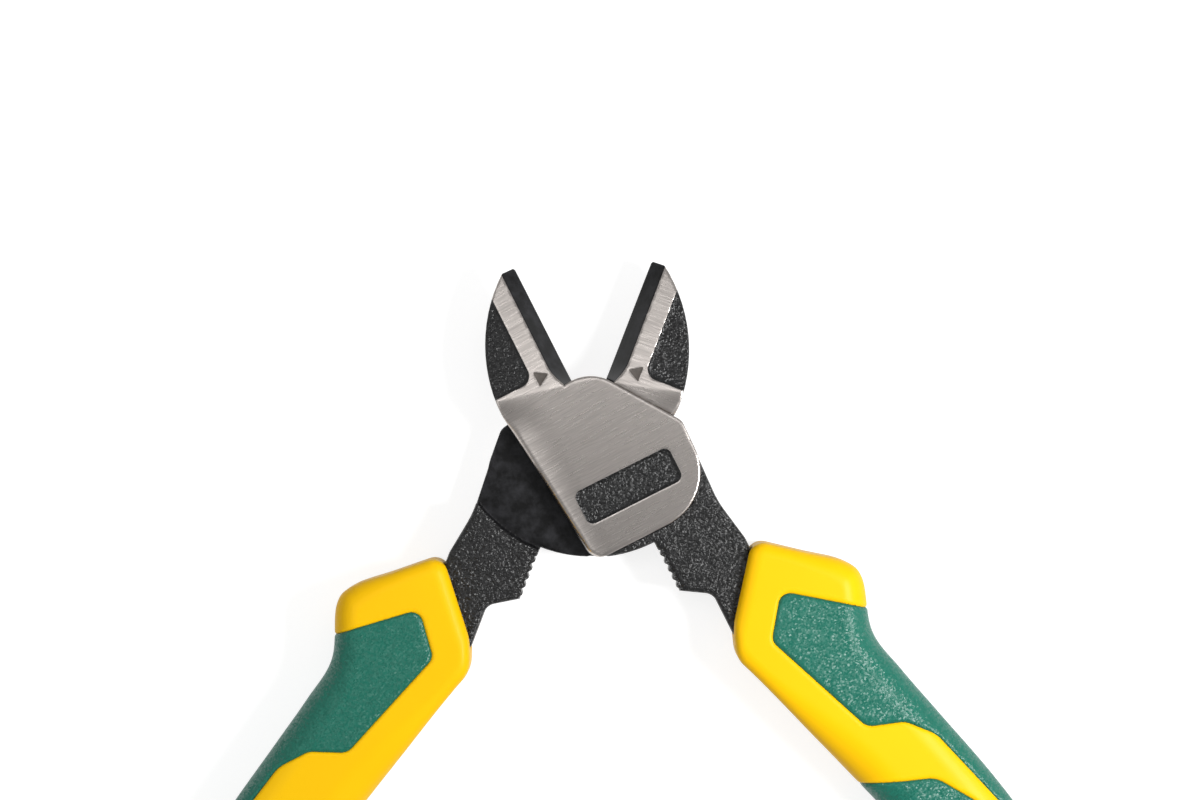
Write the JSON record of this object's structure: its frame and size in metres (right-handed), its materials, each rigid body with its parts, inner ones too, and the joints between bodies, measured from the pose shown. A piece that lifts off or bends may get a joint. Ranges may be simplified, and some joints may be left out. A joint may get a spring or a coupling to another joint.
{
  "type": "side cutters",
  "caption": "Diagonal cutting pliers, shown open: forged levers crossing in a lap joint on a flush pin, bevelled blades, pipe-gripping teeth and curved sleeve grips with soft pads.",
  "frame": {"origin": "on the pivot axis, at the flat back face of the head", "axes": "+Y from the pivot to the jaw tips, midway between the open jaws; +X to the right; +Z from the back face to the front face, along the pivot axis"},
  "size_m": [0.1848, 0.1552, 0.0154],
  "materials": {
    "lever_steel": "forged steel: ground and cross-brushed joint plate and jaw strips, black blasted arms",
    "pin_steel": "turned steel pin, ground flush",
    "grip_plastic": "yellow moulded plastic, satin",
    "pad_rubber": "green soft overmould with a fine grain"
  },
  "bodies": {
    "back": {"back_lever": "lever_steel", "back_grip_sleeve": "grip_plastic", "back_grip_upper_pad": "pad_rubber", "back_grip_lower_pad": "pad_rubber", "pivot_pin": "pin_steel"},
    "front": {"front_lever": "lever_steel", "front_grip_sleeve": "grip_plastic", "front_grip_upper_pad": "pad_rubber", "front_grip_lower_pad": "pad_rubber"}
  },
  "joints": [
    {"name": "jaw_pivot", "type": "hinge", "parent": "back", "child": "front", "pos_m": [0, 0, 0.0056], "axis": [0, 0, 1], "range_deg": [-47.7, 0]}
  ]
}
